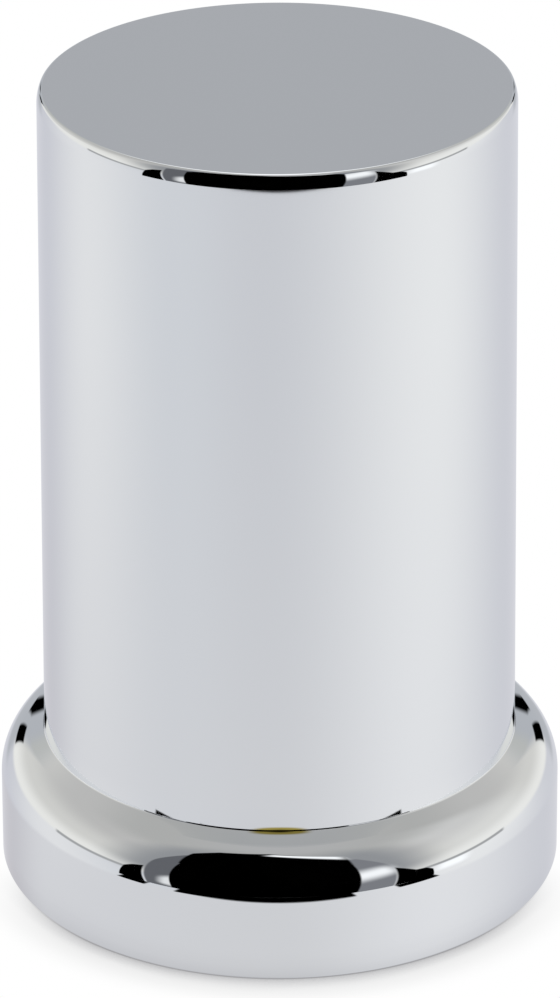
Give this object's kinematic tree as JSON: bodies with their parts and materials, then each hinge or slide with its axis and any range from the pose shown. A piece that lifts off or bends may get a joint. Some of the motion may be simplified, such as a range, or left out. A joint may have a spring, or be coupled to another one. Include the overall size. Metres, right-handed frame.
{
  "type": "wheel nut cover cap",
  "caption": "Tall round chrome-plated push-on cover for a hexagonal wheel nut, with a flat closed top, a flanged skirt that meets the wheel, and grip ribs inside.",
  "frame": {"origin": "middle of the rim's bottom face, on the cap's axis", "axes": "+Z along the cap's axis, from the open rim to the closed top; +X square to one pair of grip ribs"},
  "size_m": [0.0549, 0.0548, 0.08],
  "materials": {
    "chrome_plated_abs": "bright mirror chrome plating over moulded ABS"
  },
  "bodies": {
    "root": {"nut_cover_cap": "chrome_plated_abs"}
  },
  "joints": []
}
